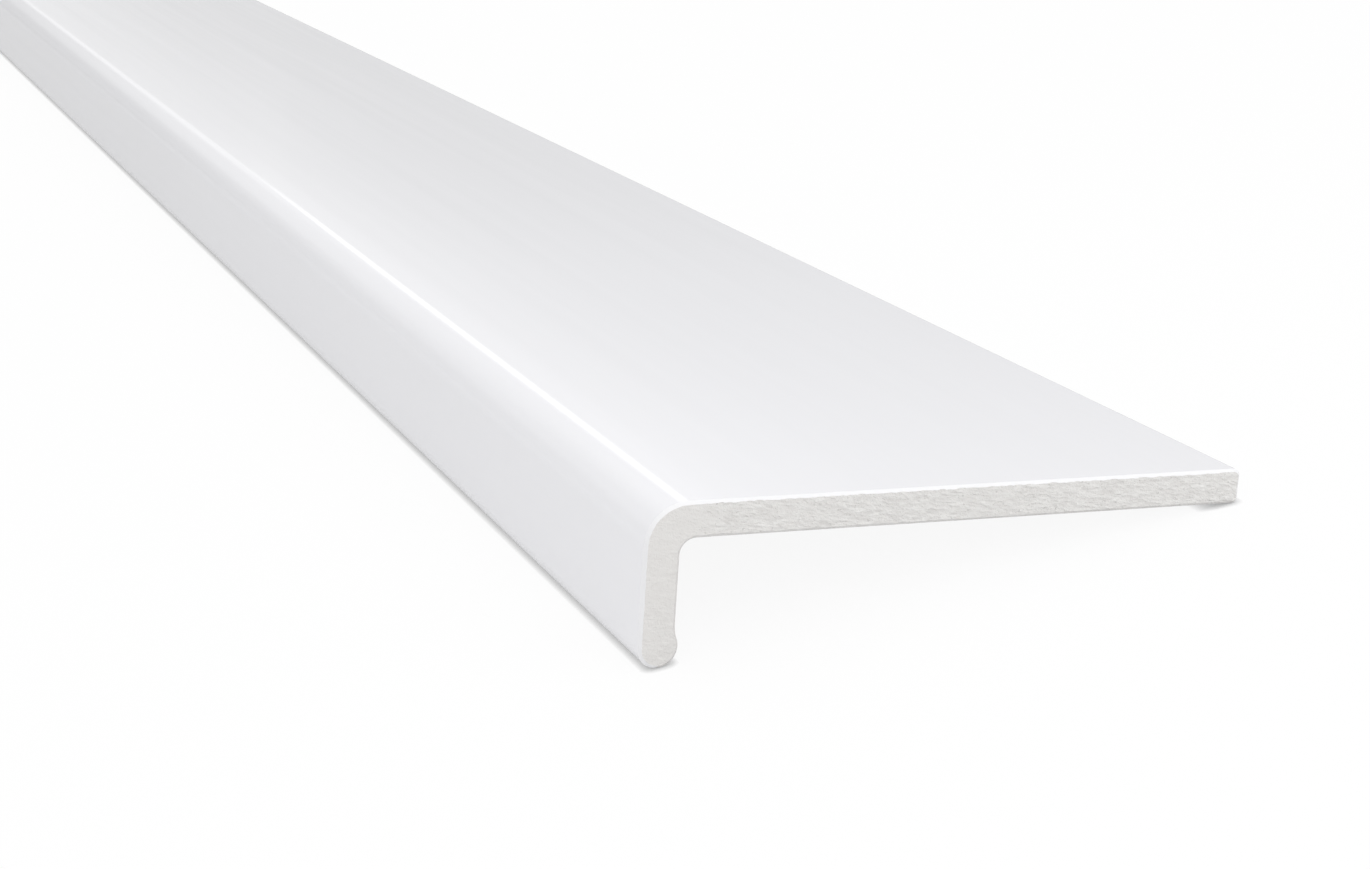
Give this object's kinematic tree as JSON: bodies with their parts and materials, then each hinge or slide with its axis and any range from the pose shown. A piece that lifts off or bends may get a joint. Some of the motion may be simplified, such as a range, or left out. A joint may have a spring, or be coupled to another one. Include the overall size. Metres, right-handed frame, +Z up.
{
  "type": "window sill board",
  "caption": "Long white cellular PVC board that caps a window sill: a flat plate with a rounded nose and a short hanging leg that ends in a bead, sawn square at both ends.",
  "frame": {"origin": "on the floor under the middle of the board's outer box, as it lies at rest", "axes": "+X along the length, towards the end shown in the picture; +Y from the nose to the back edge; +Z up"},
  "size_m": [1.25, 0.1634, 0.0384],
  "materials": {
    "white_pvc": "extruded cellular PVC with a smooth satin white skin, bare foam on the sawn ends"
  },
  "bodies": {
    "root": {"window_sill_board": "white_pvc"}
  },
  "joints": []
}
